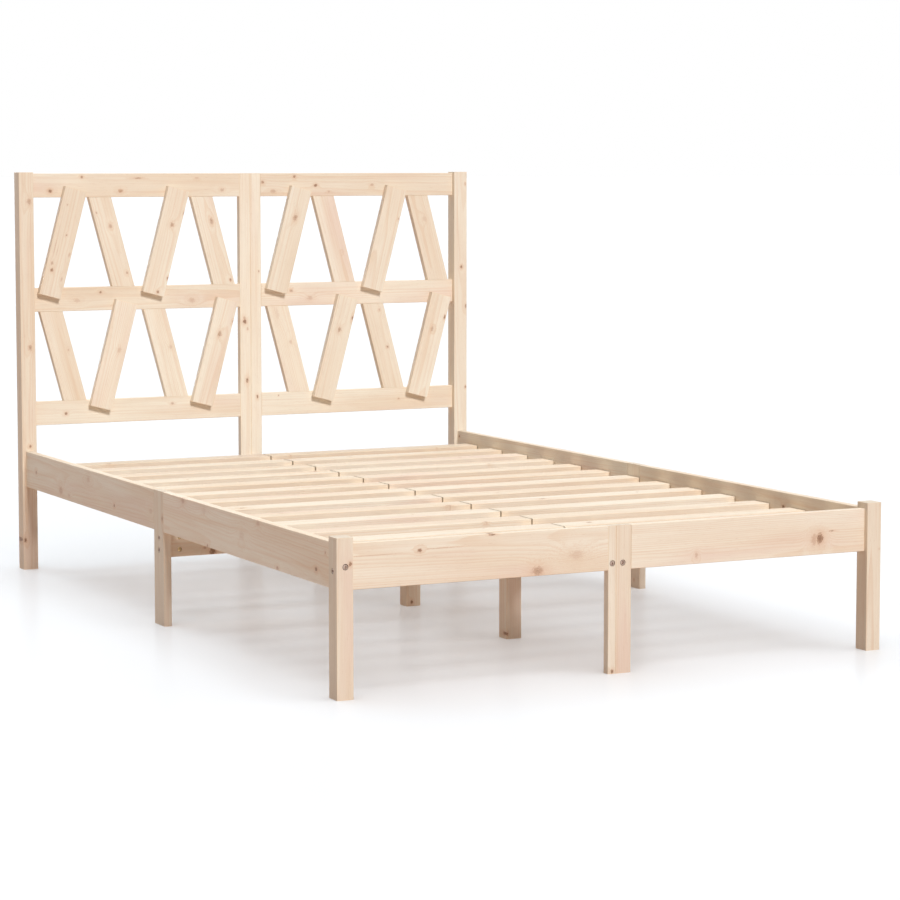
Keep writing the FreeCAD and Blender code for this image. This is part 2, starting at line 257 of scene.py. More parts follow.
def makeKnotGroup():
    # one branch cut through: a dark core, a warm halo, and a push that bends the growth lines round it
    tree, given, result = newGroup(
        "pineKnot",
        [("Board", "Vector", (0, 0, 0)), ("Place", "Vector", (0, 0, 0)), ("Radius", "Float", 0.004),
         ("Stretch", "Float", 1.3), ("Darkness", "Float", 1.0), ("Core before", "Float", 0.0),
         ("Halo before", "Float", 0.0), ("Push before", "Float", 0.0)],
        [("Core", "Float"), ("Halo", "Float"), ("Push", "Float")])
    x, y, z = splitXyz(tree, calcVector(tree, "SUBTRACT", given["Board"], given["Place"]))
    leant = calc(tree, "MULTIPLY_ADD", z, knotLook["lean"], y)
    alongGrain = calc(tree, "DIVIDE", x, given["Stretch"])
    gap = calc(tree, "SQRT", calc(tree, "ADD", calc(tree, "POWER", calc(tree, "ABSOLUTE", alongGrain), 2.0),
                                  calc(tree, "POWER", calc(tree, "ABSOLUTE", leant), 2.0)))
    uneven = noise(tree, given["Board"], pineNoise["knot"], 3.0, 0.65)
    radii = calc(tree, "ADD", calc(tree, "DIVIDE", gap, given["Radius"]),
                 calc(tree, "MULTIPLY", calc(tree, "SUBTRACT", uneven, 0.5), knotLook["raggedness"]))
    wave = calc(tree, "SINE", calc(tree, "MULTIPLY", radii, knotLook["rings"]))
    rings = rise(tree, wave, -1.0, 1.0, 0.7, 1.0)
    worn = calc(tree, "MULTIPLY", rings, rise(tree, uneven, 0.3, 0.6, 0.72, 1.0))
    dark = calc(tree, "MULTIPLY", worn, given["Darkness"])
    core = calc(tree, "MULTIPLY", rise(tree, radii, *knotLook["core"]), dark)
    halo = calc(tree, "MULTIPLY", rise(tree, radii, *knotLook["halo"]), given["Darkness"])
    squared = calc(tree, "MULTIPLY", radii, radii)
    fade = calc(tree, "EXPONENT", calc(tree, "MULTIPLY", squared, knotLook["pushFade"]))
    push = calc(tree, "MULTIPLY", fade, calc(tree, "MULTIPLY", given["Radius"], knotLook["push"]))
    feed(tree, result["Core"], calc(tree, "MAXIMUM", core, given["Core before"]))
    feed(tree, result["Halo"], calc(tree, "MAXIMUM", halo, given["Halo before"]))
    feed(tree, result["Push"], calc(tree, "ADD", push, given["Push before"]))
    return tree


def makeStrayKnotGroup():
    # a place, size and darkness for one knot in every length of board, different in each
    tree, given, result = newGroup(
        "strayKnot",
        [("Board", "Vector", (0, 0, 0)), ("Seed", "Float", 0.0), ("Half width", "Float", 0.03),
         ("Every", "Float", 0.3), ("Largest", "Float", 0.006)],
        [("Place", "Vector"), ("Radius", "Float"), ("Stretch", "Float"), ("Darkness", "Float")])
    x = splitXyz(tree, given["Board"])[0]
    cell = calc(tree, "FLOOR", calc(tree, "DIVIDE", x, given["Every"]))
    draws = []
    for turn in (0.0, 17.0):
        draws += drawThree(tree, "Vector", joinXyz(tree, cell, calc(tree, "ADD", given["Seed"], turn), 0.0))
    along = calc(tree, "MULTIPLY", calc(tree, "ADD", cell, rise(tree, draws[0], 0.0, 1.0, 0.25, 0.75)),
                 given["Every"])
    across = calc(tree, "MULTIPLY", calc(tree, "MULTIPLY_ADD", draws[1], 1.8, -0.9), given["Half width"])
    size = calc(tree, "MULTIPLY", calc(tree, "MULTIPLY_ADD", calc(tree, "POWER", draws[2], 1.6), 0.7, 0.3),
                given["Largest"])
    shown = calc(tree, "GREATER_THAN", draws[3], 0.25)
    darkness = calc(tree, "MULTIPLY", shown, calc(tree, "MULTIPLY_ADD", draws[5], 0.7, 0.3))
    feed(tree, result["Place"], joinXyz(tree, along, across, 0.0))
    feed(tree, result["Radius"], size)
    feed(tree, result["Stretch"], calc(tree, "MULTIPLY_ADD", draws[4], 0.8, 1.0))
    feed(tree, result["Darkness"], darkness)
    return tree


def makeEdgeGroup():
    # the edges of a board, found from its half size, with an uneven width: where the rubbed edge and its
    # painted highlight go
    tree, given, result = newGroup(
        "boardEdge",
        [("Board", "Vector", (0, 0, 0)), ("Half size", "Vector", (1, 1, 1)), ("Width", "Float", 0.002),
         ("Seed", "Float", 0.0)],
        [("Mask", "Float")])
    inside = calcVector(tree, "SUBTRACT", calcVector(tree, "ABSOLUTE", given["Board"]), given["Half size"])
    x, y, z = splitXyz(tree, inside)
    # the middle one of the three is the distance to the nearest edge
    middle = calc(tree, "MAXIMUM", calc(tree, "MINIMUM", x, y),
                  calc(tree, "MINIMUM", calc(tree, "MAXIMUM", x, y), z))
    moved = calcVector(tree, "ADD", given["Board"], joinXyz(tree, given["Seed"], given["Seed"], 0.0))
    uneven = noise(tree, moved, pineNoise["edge"], 3.0, 0.6)
    width = calc(tree, "MULTIPLY", given["Width"], rise(tree, uneven, 0.25, 0.75, 0.35, 1.6))
    share = calc(tree, "ADD", calc(tree, "DIVIDE", middle, width), 1.0, clamp=True)
    feed(tree, result["Mask"], rise(tree, share, 0.0, 0.9))
    return tree


def drawRings(tree, given, spot):
    # growth rings round the pith: 0 in the early wood and up to 1 in the late wood
    x, y, z = splitXyz(tree, given["Board"])
    first, second, third = drawThree(tree, "W", given["Seed"])
    slow = calc(tree, "SUBTRACT", noise(tree, spot, pineNoise["slow"], 2.0), 0.5)
    wave = calc(tree, "SUBTRACT", noise(tree, spot, pineNoise["wave"], 1.0), 0.5)
    pithAcross = calc(tree, "MULTIPLY_ADD", first, *pineRings["pithAcross"])
    pithBehind = calc(tree, "MULTIPLY_ADD", second, *pineRings["pithBehind"])
    tilt = calc(tree, "MULTIPLY_ADD", third, *pineRings["tilt"])
    across = calc(tree, "ADD", calc(tree, "SUBTRACT", y, pithAcross),
                  calc(tree, "MULTIPLY", slow, pineRings["wander"]))
    behind = calc(tree, "ADD", calc(tree, "ADD", z, pithBehind), calc(tree, "MULTIPLY", x, tilt))
    radius = calc(tree, "SQRT", calc(tree, "ADD", calc(tree, "MULTIPLY", across, across),
                                     calc(tree, "MULTIPLY", behind, behind)))
    bent = calc(tree, "ADD", calc(tree, "MULTIPLY_ADD", wave, pineRings["waviness"], radius), given["Push"])
    bent = calc(tree, "MULTIPLY_ADD", slow, pineRings["drift"], bent)
    rings = calc(tree, "DIVIDE", bent, given["Ring width"])
    within = calc(tree, "FRACT", rings)
    ringPick = addNode(tree, "ShaderNodeTexWhiteNoise", noise_dimensions="1D")
    feed(tree, ringPick.inputs["W"], calc(tree, "ADD", calc(tree, "FLOOR", rings), given["Seed"]))
    strength = rise(tree, ringPick.outputs["Value"], 0.0, 1.0, 0.25, 1.0)
    return calc(tree, "MULTIPLY", calc(tree, "MULTIPLY", rise(tree, within, 0.3, 0.9), strength),
                rise(tree, within, 1.0, 0.93))


def stain(tree, colour, pattern, low, high, share, stainTone):
    # tints the wood where a pattern rises from low to high
    strength = rise(tree, pattern, low, high, 0.0, pineShares[share])
    return mixColour(tree, strength, colour, pineTones[stainTone])


def wash(tree, colour, mask, share, washTone):
    # tints the wood evenly under a mask
    strength = calc(tree, "MULTIPLY", mask, pineShares[share])
    return mixColour(tree, strength, colour, pineTones[washTone])


def makeFigureGroup():
    # the wood itself: growth rings, fibres, patches, flecks, rubbed edges with a painted highlight, end
    # grain and the tint of knots
    tree, given, result = newGroup(
        "pineFigure",
        [("Board", "Vector", (0, 0, 0)), ("Seed", "Float", 0.0), ("Ring width", "Float", 0.003),
         ("Warmth", "Float", 0.3), ("Depth", "Float", 0.2), ("Cut end", "Float", 0.0),
         ("Core", "Float", 0.0), ("Halo", "Float", 0.0), ("Push", "Float", 0.0), ("Rub highlight", "Float", 0.0)],
        [("Color", "Color"), ("Roughness", "Float"), ("Height", "Float")])
    # every seed cuts its board from another place in the wood
    shift = joinXyz(tree, calc(tree, "MULTIPLY", given["Seed"], 1.37),
                    calc(tree, "MULTIPLY", given["Seed"], 0.61), calc(tree, "MULTIPLY", given["Seed"], 0.23))
    spot = calcVector(tree, "ADD", given["Board"], shift)
    late = drawRings(tree, given, spot)
    fibre = noise(tree, spot, pineNoise["fibre"], 3.0, 0.65)
    streak = noise(tree, spot, pineNoise["streak"], 2.0, 0.55)
    patch = noise(tree, spot, pineNoise["patch"], 3.0, 0.55)
    blush = noise(tree, calcVector(tree, "ADD", spot, (3.1, 5.7, 1.9)), pineNoise["blush"], 2.0)
    flecks = noise(tree, spot, pineNoise["fleck"], 1.0)
    pores = noise(tree, spot, pineNoise["pore"], 2.0)

    warm = calc(tree, "ADD", rise(tree, patch, 0.32, 0.7, -0.35, 0.55), given["Warmth"], clamp=True)
    colour = mixColour(tree, warm, pineTones["cream"], pineTones["peach"])
    colour = stain(tree, colour, blush, 0.5, 0.78, "blush", "pink")
    colour = wash(tree, colour, late, "lateWood", "lateWood")
    colour = stain(tree, colour, streak, 0.5, 0.82, "streak", "lateWood")
    colour = stain(tree, colour, fibre, 0.42, 0.8, "fibre", "fleck")
    colour = stain(tree, colour, flecks, 0.69, 0.76, "fleck", "fleck")
    # painted highlight: the edges are lightened as if light caught the eased corners, together with some
    # rubbed wear
    colour = wash(tree, colour, given["Rub highlight"], "rubbedHighlight", "rubbedHighlight")

    endTone = mixColour(tree, pineShares["endGrain"], colour, pineTones["endGrain"])
    endTone = wash(tree, endTone, late, "endRings", "fleck")
    endTone = stain(tree, endTone, pores, 0.5, 0.75, "endPores", "fleck")
    colour = mixColour(tree, given["Cut end"], colour, endTone)

    colour = wash(tree, colour, given["Halo"], "halo", "halo")
    knotTone = mixColour(tree, rise(tree, given["Core"], 0.3, 0.9), pineTones["paleKnot"], pineTones["knot"])
    knotTone = mixColour(tree, rise(tree, fibre, 0.4, 0.8, 0.0, 0.5), knotTone, pineTones["paleKnot"])
    knotShare = calc(tree, "MULTIPLY", given["Core"], 1.25, clamp=True)
    colour = mixColour(tree, calc(tree, "MULTIPLY", knotShare, pineShares["knot"]), colour, knotTone)

    # a deep tone loses more green than red, and more blue than green
    shade = calc(tree, "SUBTRACT", 1.0, calc(tree, "MULTIPLY", given["Depth"], 0.4))
    tint = joinXyz(tree, shade, calc(tree, "POWER", shade, 1.15), calc(tree, "POWER", shade, 1.35))
    colour = mixColour(tree, 1.0, colour, tint, "MULTIPLY")

    dull = calc(tree, "ADD", rise(tree, fibre, 0.3, 0.7, 0.5, 0.64),
                calc(tree, "MULTIPLY", given["Cut end"], 0.16))
    dull = calc(tree, "SUBTRACT", dull, calc(tree, "MULTIPLY", given["Core"], 0.14))
    dull = calc(tree, "SUBTRACT", dull, calc(tree, "MULTIPLY", given["Rub highlight"], 0.12), clamp=True)
    height = calc(tree, "ADD", calc(tree, "MULTIPLY", fibre, 0.5), calc(tree, "MULTIPLY", late, 0.35))
    height = calc(tree, "ADD", height, calc(tree, "MULTIPLY", given["Core"], 0.5))
    height = calc(tree, "SUBTRACT", height, rise(tree, flecks, 0.69, 0.76, 0.0, 0.5))
    feed(tree, result["Color"], colour)
    feed(tree, result["Roughness"], dull)
    feed(tree, result["Height"], height)
    return tree


groups = {
    "knot": makeKnotGroup(),
    "strayKnot": makeStrayKnotGroup(),
    "edge": makeEdgeGroup(),
    "figure": makeFigureGroup(),
}
print("scene: the wood groups are made")

# Which way the grain and the width of each kind of board run
boardKinds = {
    "head_post": ("Z", "X"),
    "foot_post": ("Z", "X"),
    "head_stile": ("Z", "X"),
    "foot_leg": ("Z", "X"),
    "centre_leg": ("Z", "X"),
    "side_leg": ("Z", "Y"),
    "head_rail": ("X", "Z"),
    "foot_rail": ("X", "Z"),
    "cross_beam": ("X", "Z"),
    "slats": ("X", "Y"),
    "side_rail": ("Y", "Z"),
    "centre_beam": ("Y", "Z"),
    "ledger": ("Y", "Z"),
}

# A brace that is fitted between the rails counts as longer than it is, so its hidden ends get no rubbed edge
# with its painted highlight
braceLook = {"lean": math.radians(15), "width": 0.058, "board": 0.018, "fittedLength": 1.0, "slack": 0.001}

# How warm and how deep the tone of a board is, where it differs from the rest
boardTones = {
    "head_rail_top_left": (0.30, 0.02),
    "head_rail_top_right": (0.45, 0.06),
    "head_rail_mid_right": (0.10, 0.0),
    "head_rail_mid_left": (0.40, 0.05),
    "head_stile_left": (0.0, -0.03),
    "head_stile_right": (0.0, -0.03),
    "head_post_left": (0.50, 0.06),
    "foot_post_left": (0.18, 0.13),
    "foot_post_right": (0.25, 0.16),
    "foot_leg_left": (0.15, 0.10),
    "foot_leg_right": (0.20, 0.11),
    "side_leg_left": (0.35, 0.08),
    "side_rail_left_back": (0.42, -0.05),
    "side_rail_left_front": (0.48, -0.16),
    "upper_brace_1": (0.30, 0.06),
    "upper_brace_3": (0.05, 0.0),
    "upper_brace_4": (0.05, 0.0),
    "upper_brace_6": (0.0, 0.0),
    "lower_brace_2": (-0.15, -0.04),
    "lower_brace_3": (0.0, -0.03),
    "lower_brace_4": (0.05, 0.0),
    "lower_brace_5": (-0.25, -0.05),
    "lower_brace_8": (0.05, 0.0),
    "foot_rail_left": (0.30, 0.05),
    "foot_rail_right": (0.05, 0.03),
    "centre_leg_front": (0.12, -0.02),
}

# Knots by board: along the grain and across the width from its middle, radius, all in mm, then
# how far it is stretched along the grain and how dark it is
knotPlaces = {
    "upper_brace_1": [(95, -15, 2, 1.2, 0.5), (21, 2, 2.5, 1.2, 0.7), (-57, -18, 3.5, 1.6, 0.6),
                      (-74, -14, 4, 1.3, 0.9), (-90, 16, 3, 2, 0.4), (-26, 21, 3, 2, 0.4),
                      (-16, -20, 1, 22, 0.5), (-24, -12, 0.9, 18, 0.4)],
    "upper_brace_2": [(82, -22, 2.5, 1.5, 0.6), (39, 5, 5, 1.3, 0.6), (-87, 16, 3, 1.2, 0.7)],
    "upper_brace_3": [(82, 27, 2.5, 2.2, 0.8), (45, 2, 5.5, 1.2, 0.7), (-90, 25, 3, 1.6, 0.8),
                      (-131, 8, 4, 1.2, 0.9)],
    "upper_brace_4": [(50, 7, 5, 2, 0.7), (-111, 18, 3.5, 1.4, 0.8)],
    "upper_brace_5": [(60, -1, 6.5, 1.6, 0.7)],
    "upper_brace_6": [(-40, 12, 2, 1.2, 0.2)],
    "upper_brace_7": [(60, 23, 2.5, 1.3, 0.5)],
    "upper_brace_8": [(52, 2, 6, 1.5, 0.25)],
    "lower_brace_1": [(11, 15, 2.5, 1.3, 0.5)],
    "lower_brace_2": [(15, 8, 6, 1.4, 0.35)],
    "lower_brace_3": [(11, 14, 5, 1.3, 0.3)],
    "lower_brace_4": [(47, -2, 6, 1.5, 0.7), (88, 26, 2.5, 2.4, 0.6)],
    "lower_brace_5": [(16, 8, 4, 1.4, 0.35), (99, -9, 7, 2.5, 0.2)],
    "lower_brace_6": [(48, -5, 5.5, 1.4, 0.7), (88, 24, 3, 2.4, 0.9)],
    "lower_brace_7": [(96, 12, 3.5, 1.3, 0.4), (-6, 9, 3.5, 1.3, 0.7)],
    "lower_brace_8": [(43, -6, 5, 1.6, 0.6), (83, 22, 3, 2.4, 0.9)],
    "head_rail_top_left": [(-233, -12, 5, 1.2, 1), (-149, 23, 3.5, 1.2, 0.8), (-46, -13, 5, 1.4, 0.7),
                           (1, 20, 2.2, 6, 0.7), (162, 20, 3, 2, 0.3), (232, -11, 5, 1.3, 0.5)],
    "head_rail_top_right": [(-274, 9, 4, 1.3, 0.8), (-184, 23, 4, 1.2, 0.9), (-123, 0, 4, 1.3, 1),
                            (-244, -15, 5, 2, 0.5), (-85, -17, 3, 1.3, 0.5), (40, 1, 4, 1.5, 0.5)],
    "head_rail_mid_left": [(-102, 18, 4, 1.2, 0.8), (-166, -2, 6, 1.8, 0.3), (146, -8, 7, 1.4, 0.4)],
    "head_rail_mid_right": [(-141, -9, 6, 1.5, 0.4), (-194, 11, 4, 1.6, 0.6)],
    "head_rail_low_left": [(-198, -1, 4, 1.2, 0.9), (90, 14, 3.5, 1.4, 0.6)],
    "head_stile_left": [(113, -4, 6, 1.2, 1), (122, -5, 4, 1.4, 0.6), (94, 4, 3, 1.6, 0.5),
                        (-40, 2, 4, 2, 0.9), (-75, 19, 3, 1.3, 0.6)],
    "head_post_left": [(427, 3, 6, 1.5, 0.6), (61, 1, 5, 1.7, 0.7), (-188, -2, 4, 1.2, 0.9),
                       (-425, -18, 4.5, 1.5, 1)],
    "head_post_right": [(244, -2, 4, 1.3, 0.9), (467, 10, 3, 1.8, 0.4), (138, 12, 3.5, 2.2, 0.8),
                        (105, 14, 1, 40, 0.4), (-82, 11, 3, 1.5, 0.8)],
    "side_rail_left_back": [(375, -2, 5, 1.2, 0.7), (186, -28, 11, 1.3, 0.5), (125, -33, 5, 2, 0.3),
                            (-16, 21, 9, 1.5, 0.25), (-195, -23, 4.5, 1.2, 0.9), (-435, -8, 7, 1.6, 0.3)],
    "side_rail_left_front": [(336, 37, 8, 1.4, 0.5), (213, 29, 6, 2.4, 0.2), (194, -44, 4, 1.3, 0.7),
                             (3, 1, 11, 1.3, 0.2), (-85, 37, 7, 1.4, 0.4), (-184, -42, 4, 1.8, 0.6),
                             (-375, -19, 5, 1.3, 1), (-419, 19, 3, 1.2, 0.6)],
    "foot_post_left": [(105, 7, 4, 1.3, 1)],
    "foot_post_right": [(58, 9, 2, 1.5, 0.3)],
    "foot_rail_left": [(-137, 24, 4.2, 1.3, 1), (21, 45, 2, 5, 0.9), (122, -33, 10, 1.5, 0.7),
                       (209, -6, 11, 1.6, 0.3), (-92, 26, 0.9, 45, 0.5), (-232, 21, 0.9, 60, 0.4)],
    "foot_rail_right": [(-130, -25, 7, 0.5, 0.5), (171, -9, 12.5, 0.8, 1.0), (156, -11, 15, 0.5, 0.5),
                        (201, 5, 1.6, 5, 0.8)],
    "foot_leg_left": [(-145, -1, 4, 1.2, 1)],
    "cross_beam": [(-494, -21, 10, 1.0, 1), (-512, -12, 3, 1.5, 0.6), (260, 11, 6, 1.4, 0.6)],
    "centre_leg_front": [(-94, -21, 3.5, 1.3, 0.9)],
    "centre_leg_middle": [(-66, -9, 4, 1.3, 1)],
}
mmPerMetre = 1000

axisVectors = {"X": Vector((1, 0, 0)), "Y": Vector((0, 1, 0)), "Z": Vector((0, 0, 1))}


def boardAxes(node):
    # the board's own axes as the columns of a matrix
    if "brace" in node:
        number = int(node.rsplit("_", 1)[1])
        leansRight = (number % 2 == 1) == node.startswith("upper")
        lean = braceLook["lean"] if leansRight else -braceLook["lean"]
        grain = Vector((math.sin(lean), 0, math.cos(lean)))
        width = Vector((math.cos(lean), 0, -math.sin(lean)))
    else:
        kind = next(kind for kind in boardKinds if node.startswith(kind))
        grain, width = (axisVectors[name] for name in boardKinds[kind])
    through = grain.cross(width)
    return Matrix((grain, width, through)).transposed()


def boardHalfSize(node, axes):
    low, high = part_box(node)
    size = high - low
    if "brace" in node:
        length = (size.z - braceLook["width"] * math.sin(braceLook["lean"])) / math.cos(braceLook["lean"])
        lapped = low.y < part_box("head_rail_top_left")[0].y - braceLook["slack"]
        if not lapped:
            length = braceLook["fittedLength"]
        return Vector((length, braceLook["width"], braceLook["board"])) / 2
    spans = [abs(axes.col[column].dot(size)) for column in range(3)]
    return Vector(spans) / 2


def ownTone(node, seed):
    # the tone that is set for a board, or one that differs a little from board to board
    if node in boardTones:
        return boardTones[node]
    warmth = pineLook["leastWarmth"] + pineLook["warmthSpread"] * (seed * pineLook["warmthStep"] % 1)
    depth = pineLook["depthSpread"] * (seed * pineLook["depthStep"] % 1)
    return warmth, depth


def makeKnots(tree, node, board, seed, halfWidth):
    # the knots that have a place on this board, or one stray knot in every length of it
    if node not in knotPlaces:
        stray = placeGroup(tree, groups["strayKnot"], {
            "Board": board, "Seed": seed, "Half width": halfWidth,
            "Every": pineLook["knotEvery"], "Largest": pineLook["largestKnot"]})
        return placeGroup(tree, groups["knot"], {
            "Board": board, "Place": stray["Place"], "Radius": stray["Radius"],
            "Stretch": stray["Stretch"], "Darkness": stray["Darkness"]})
    marks = None
    for along, across, radius, stretch, darkness in knotPlaces[node]:
        values = {"Board": board, "Place": (along / mmPerMetre, across / mmPerMetre, 0),
                  "Radius": radius / mmPerMetre, "Stretch": stretch, "Darkness": darkness}
        if marks:
            for label in ("Core", "Halo", "Push"):
                values[label + " before"] = marks[label]
        marks = placeGroup(tree, groups["knot"], values)
    return marks


def makePine(node, seed, repeat=None):
    # repeat is the row of boards that lie side by side in one node
    axes = boardAxes(node)
    low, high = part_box(node)
    middle = (low + high) / 2
    half = boardHalfSize(node, axes)
    if repeat:
        middle.y = repeat["first"]
        half.y = repeat["width"] / 2
    warmth, depth = ownTone(node, seed)
    material, tree, shader = startMaterial("pine_" + node)
    place = addNode(tree, "ShaderNodeTexCoord")
    turn = addNode(tree, "ShaderNodeMapping", vector_type="TEXTURE")
    turn.inputs["Location"].default_value = middle
    turn.inputs["Rotation"].default_value = axes.to_euler()
    feed(tree, turn.inputs["Vector"], place.outputs["Object"])
    board = turn.outputs[0]
    boardSeed = float(seed)
    if repeat:
        # each slat of the row has coordinates and a seed of its own
        x, y, z = splitXyz(tree, board)
        number = calc(tree, "ROUND", calc(tree, "DIVIDE", y, repeat["pitch"]))
        y = calc(tree, "MULTIPLY_ADD", number, -repeat["pitch"], y)
        board = joinXyz(tree, x, y, z)
        boardSeed = calc(tree, "MULTIPLY_ADD", number, pineLook["slatSeedStep"], float(seed))
    facing = calcVector(tree, "DOT_PRODUCT", place.outputs["Normal"], tuple(axes.col[0]))
    cutEnd = rise(tree, calc(tree, "ABSOLUTE", facing), 0.55, 0.8)
    edge = placeGroup(tree, groups["edge"], {
        "Board": board, "Half size": tuple(half), "Width": pineLook["edgeWidth"], "Seed": boardSeed})
    marks = makeKnots(tree, node, board, boardSeed, half.y)
    figure = placeGroup(tree, groups["figure"], {
        "Board": board, "Seed": boardSeed, "Ring width": pineLook["ringWidth"], "Warmth": warmth,
        "Depth": depth, "Cut end": cutEnd, "Core": marks["Core"], "Halo": marks["Halo"],
        "Push": marks["Push"], "Rub highlight": edge["Mask"]})
    feed(tree, shader.inputs["Base Color"], figure["Color"])
    feed(tree, shader.inputs["Roughness"], figure["Roughness"])
    shader.inputs["Specular IOR Level"].default_value = pineLook["gloss"]
    addBump(tree, shader, figure["Height"], pineLook["bump"], pineLook["bumpDepth"])
    return material


boltNodes = ("corner_bolts", "centre_bolts", "side_leg_bolts")
screwNodes = ("barrel_nuts", "wood_screws")
otherNodes = ("dowels", "slat_tapes", "bolt_plug")

# first is the middle of the first slat, and reach runs from there to the middle of the last
slatRow = {"first": -0.849, "reach": 1.7, "count": 13, "width": 0.060}
slatRow["pitch"] = slatRow["reach"] / (slatRow["count"] - 1)


def paint(node, material):
    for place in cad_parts[node].material_slots:
        place.material = material


seed = pineLook["firstSeed"]
for node in sorted(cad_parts):
    if node in boltNodes + screwNodes + otherNodes:
        continue
    seed += pineLook["seedStep"]
    paint(node, makePine(node, seed, slatRow if node.startswith("slats") else None))
# the plug over the bolt takes the wood of its post, so that the grain runs through
paint("bolt_plug", bpy.data.materials["pine_foot_post_right"])
print("scene: every board has its own pine")


# Zinc plated steel for the bolts, yellow zinc for nuts and screws, and beech for the dowels

# the rim tone is painted shade, laid along the rim of each head and round its socket, where the gap round
# the head lies in shadow
zincLook = {"tone": tone(208, 184, 168), "dull": tone(176, 152, 138), "bright": tone(228, 212, 200),
            "rim": tone(92, 66, 54), "rimWidth": 0.0014}
yellowZincLook = {"tone": tone(190, 160, 118), "dull": tone(160, 130, 92), "bright": tone(212, 188, 144),
                  "rim": tone(88, 64, 44), "rimWidth": 0.0007}
steelLook = {"spangle": (700, 700, 700), "smear": (160, 160, 160), "scratch": (2600, 300, 2600),
             "bump": 0.25, "bumpDepth": 0.0001}


def makeSteel(name, look):
    material, tree, shader = startMaterial(name)
    place = addNode(tree, "ShaderNodeTexCoord").outputs["Object"]
    spangle = noise(tree, place, steelLook["spangle"], 2.0)
    smear = noise(tree, place, steelLook["smear"], 3.0, 0.6)
    scratch = noise(tree, place, steelLook["scratch"], 1.0)
    colour = mixColour(tree, rise(tree, smear, 0.35, 0.7), look["tone"], look["dull"])
    colour = mixColour(tree, rise(tree, spangle, 0.45, 0.75, 0.0, 0.35), colour, look["bright"])
    # painted shade: the head is darkened along its rim and round its socket, standing in for the shadow in
    # the gap round the head
    rounded = addNode(tree, "ShaderNodeBevel", samples=8)
    rounded.inputs["Radius"].default_value = look["rimWidth"]
    flat = addNode(tree, "ShaderNodeNewGeometry").outputs["Normal"]
    turned = calc(tree, "SUBTRACT", 1.0, calcVector(tree, "DOT_PRODUCT", rounded.outputs[0], flat))
    colour = mixColour(tree, rise(tree, turned, 0.0, 0.08, 0.0, 0.9), colour, look["rim"])
    feed(tree, shader.inputs["Base Color"], colour)
    shader.inputs["Metallic"].default_value = 1.0
    feed(tree, shader.inputs["Roughness"], rise(tree, smear, 0.3, 0.75, 0.28, 0.5))
    height = calc(tree, "ADD", calc(tree, "MULTIPLY", scratch, 0.4), spangle)
    addBump(tree, shader, height, steelLook["bump"], steelLook["bumpDepth"])
    return material


dowelLook = {"tone": tone(224, 188, 146), "dark": tone(198, 154, 112), "pale": tone(232, 202, 164),
             "fibre": (260, 260, 260), "patch": (30, 30, 30), "bump": 0.3, "bumpDepth": 0.0003}


def makeDowelWood():
    material, tree, shader = startMaterial("dowelWood")
    place = addNode(tree, "ShaderNodeTexCoord").outputs["Object"]
    fibre = noise(tree, place, dowelLook["fibre"], 3.0, 0.65)
    patch = noise(tree, place, dowelLook["patch"], 2.0)
    colour = mixColour(tree, rise(tree, fibre, 0.35, 0.7), dowelLook["tone"], dowelLook["dark"])
    colour = mixColour(tree, rise(tree, patch, 0.4, 0.7, 0.0, 0.5), colour, dowelLook["pale"])
    feed(tree, shader.inputs["Base Color"], colour)
    feed(tree, shader.inputs["Roughness"], rise(tree, fibre, 0.3, 0.7, 0.55, 0.72))
    addBump(tree, shader, fibre, dowelLook["bump"], dowelLook["bumpDepth"])
    return material


for nodes, steel in ((boltNodes, makeSteel("zincSteel", zincLook)),
                     (screwNodes, makeSteel("yellowZincSteel", yellowZincLook))):
    for node in nodes:
        paint(node, steel)
paint("dowels", makeDowelWood())
print("scene: steel and dowel wood are on")


# Cotton tapes under the slats, woven, with a slight sag from slat to slat

tapeLook = {
    "first": -0.45,
    "pitch": 0.3,
    "count": 4,
    "width": 0.020,
    "thickness": 0.0009,
    "top": 0.2539,
    "sag": 0.0022,
    # shares of the gap between two slats, and of the sag that the tape falls on each
    "sagShares": ((0.12, 0.5), (0.38, 0.5), (0.38, -0.5), (0.12, -0.5)),
    "smoothUpTo": math.radians(40),
    "thread": 0.0011,
    "weftShare": 0.8,
    "tone": tone(226, 220, 206),
    "shade": tone(168, 160, 144),
    "fuzzTone": tone(240, 236, 226),
    "wornTone": tone(206, 196, 176),
    "fuzz": (900, 900, 900),
    "wear": (14, 14, 14),
    "gloss": 0.2,
    "sheen": 0.25,
    "sheenRoughness": 0.5,
    "bump": 0.6,
    "bumpDepth": 0.0003,
}


